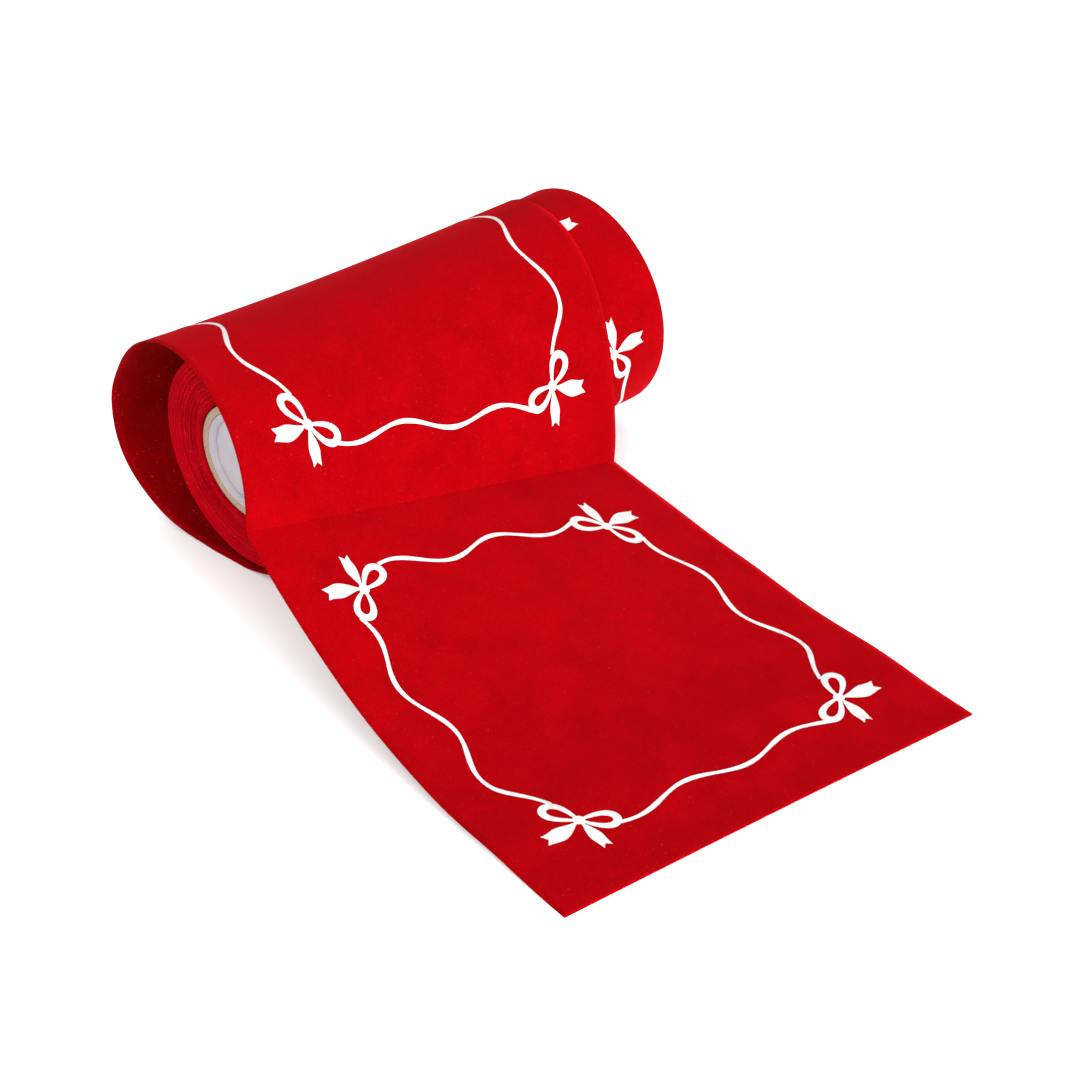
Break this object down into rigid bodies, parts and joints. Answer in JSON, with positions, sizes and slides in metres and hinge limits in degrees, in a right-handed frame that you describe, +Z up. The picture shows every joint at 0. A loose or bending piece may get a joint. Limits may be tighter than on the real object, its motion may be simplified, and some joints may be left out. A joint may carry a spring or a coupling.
{
  "type": "fabric roll",
  "caption": "Roll of printed cloth on a cardboard core with pressed-in end plugs, its outer turn loose and its cut end laid out on the table.",
  "frame": {"origin": "centre of the underside of the whole part, on the table", "axes": "+X along the roll's axis towards the end where the wound cloth shows, +Y from the cut end towards the roll, +Z up"},
  "size_m": [0.3938, 0.529, 0.1728],
  "materials": {
    "cloth": "matte brushed red cloth with a white ribbon-bow print",
    "board": "spirally wound brown cardboard",
    "plug": "thin white moulded plastic",
    "tape": "clear adhesive film"
  },
  "bodies": {
    "lead": {"outer_turn": "cloth"},
    "roll": {"wound_fabric": "cloth", "core_tube": "board", "end_plug_left": "plug", "end_plug_right": "plug", "start_tape": "tape"},
    "tail": {"free_tail": "cloth"}
  },
  "joints": [
    {"name": "roll_spin", "type": "hinge", "parent": "lead", "child": "roll", "pos_m": [0.04688, 0.15385, 0.0784], "axis": [1, 0, 0], "continuous": true},
    {"name": "tail_fold", "type": "hinge", "parent": "lead", "child": "tail", "pos_m": [-0.16754, 0.07037, 0.09779], "axis": [-0.9683, 0.0635, 0.2416], "range_deg": [0, 75]}
  ]
}
